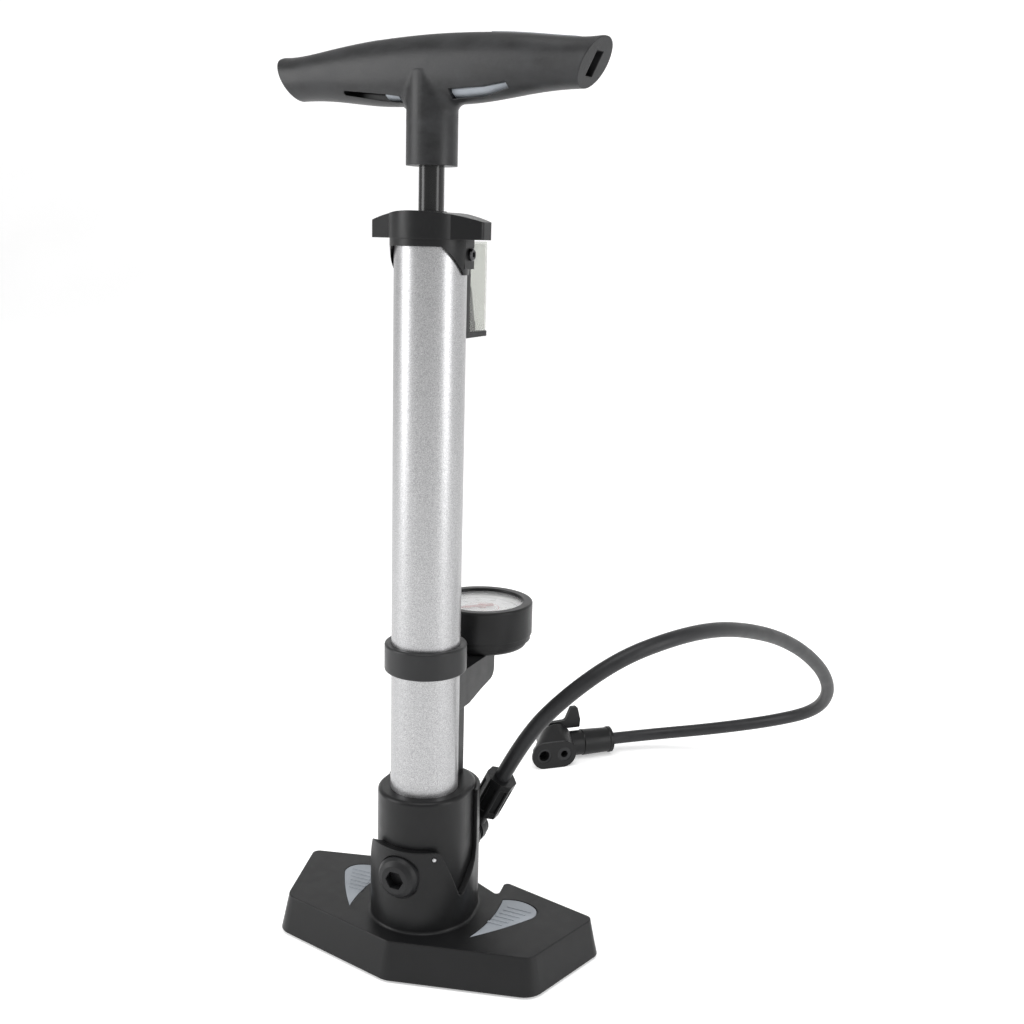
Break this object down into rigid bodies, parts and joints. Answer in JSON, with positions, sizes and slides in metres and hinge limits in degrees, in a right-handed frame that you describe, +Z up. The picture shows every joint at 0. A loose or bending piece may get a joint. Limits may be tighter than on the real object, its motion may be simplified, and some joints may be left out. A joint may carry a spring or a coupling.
{
  "type": "floor bike pump",
  "caption": "Upright floor pump with a T handle, metal barrel, rear pressure gauge, weighted foot plate and a hose with a lever pump head.",
  "frame": {"origin": "centre of the rubber foot under the barrel's axis, on the floor", "axes": "+Z up the barrel, +X along the foot plate, +Y to the rear, where the gauge and the hose are"},
  "size_m": [0.2743, 0.4025, 0.499],
  "materials": {
    "black_plastic": "satin moulded",
    "charcoal_plastic": "satin moulded",
    "barrel_metal": "fine satin",
    "rod_metal": "gloss black",
    "grey_pad": "soft ribbed",
    "black_rubber": "matt",
    "white_dial": "printed",
    "clear_plastic": "clear",
    "steel": "plain",
    "brass": "turned",
    "needle_red": "gloss"
  },
  "bodies": {
    "pump_body": {"base": "black_plastic", "base_pad_left": "grey_pad", "base_pad_right": "grey_pad", "base_feet": "black_rubber", "centre_foot": "black_rubber", "cross_bolt": "charcoal_plastic", "set_pin": "steel", "foot_screw": "steel", "pump_foot": "black_plastic", "foot_gasket": "black_rubber", "valve_seat": "brass", "valve_spring": "steel", "barrel_tube": "barrel_metal", "gauge_duct": "black_plastic", "gauge_bracket": "black_plastic", "gauge_case": "black_plastic", "gauge_bezel": "black_plastic", "gauge_lens": "clear_plastic", "gauge_dial": "white_dial", "spindle_bush": "brass", "gauge_nipple": "brass", "bourdon_coil": "brass", "top_cap": "black_plastic", "rod_bush": "black_plastic", "rod_wiper": "black_rubber", "top_bumper": "black_rubber", "cap_screw": "steel", "accessory_holder": "charcoal_plastic", "ball_needle": "steel", "nozzle_cone": "charcoal_plastic", "hose_swivel": "charcoal_plastic", "swivel_bolt": "charcoal_plastic", "swivel_washers": "black_rubber", "swivel_spacer": "steel", "hose_sleeve": "black_plastic", "hose": "black_rubber", "head_body": "black_plastic", "schrader_seal": "black_rubber", "presta_seal": "black_rubber", "head_collar": "black_plastic", "lever_pin": "steel"},
    "piston_ring": {"piston_seal": "black_rubber"},
    "plunger": {"piston_rod": "rod_metal", "piston_head": "charcoal_plastic", "piston_nut": "steel", "handle_body": "black_plastic", "handle_insert_left": "grey_pad", "handle_insert_right": "grey_pad", "handle_nut": "brass"},
    "needle": {"gauge_needle": "needle_red"},
    "cover": {"accessory_cover": "clear_plastic"},
    "valve": {"check_valve": "brass"},
    "lever": {"head_lever": "charcoal_plastic"},
    "pusher": {"seal_pusher": "charcoal_plastic"}
  },
  "joints": [
    {"name": "piston_stroke", "type": "slide", "parent": "pump_body", "child": "piston_ring", "axis": [0, 0, 1], "range_m": [-0.022, 0.272]},
    {"name": "handle_turn", "type": "hinge", "parent": "piston_ring", "child": "plunger", "pos_m": [0, 0, 0.2], "axis": [0, 0, 1], "continuous": true},
    {"name": "needle_turn", "type": "hinge", "parent": "pump_body", "child": "needle", "pos_m": [0, 0.073, 0.183], "axis": [0, 0, 1], "range_deg": [-270, 0], "stiffness_Nm_per_rad": 0.0002},
    {"name": "cover_slide", "type": "slide", "parent": "pump_body", "child": "cover", "axis": [0, 1, 0], "range_m": [0, 0.022]},
    {"name": "valve_lift", "type": "slide", "parent": "pump_body", "child": "valve", "axis": [0, 0, 1], "range_m": [-0.0015, 0], "stiffness_N_per_m": 60, "springref_m": 0.001, "deforming": ["valve_spring"]},
    {"name": "lever_throw", "type": "hinge", "parent": "pump_body", "child": "lever", "pos_m": [-0.03593, 0.29239, 0.014], "axis": [-0.7314, -0.682, 0], "range_deg": [0, 90]},
    {"name": "seal_squeeze", "type": "slide", "parent": "pump_body", "child": "pusher", "axis": [0.682, -0.7314, 0], "range_m": [0, 0.00095]}
  ],
  "couplings": [
    {"joint": "seal_squeeze", "follows": "lever_throw", "m_per_rad": 0.00057}
  ]
}
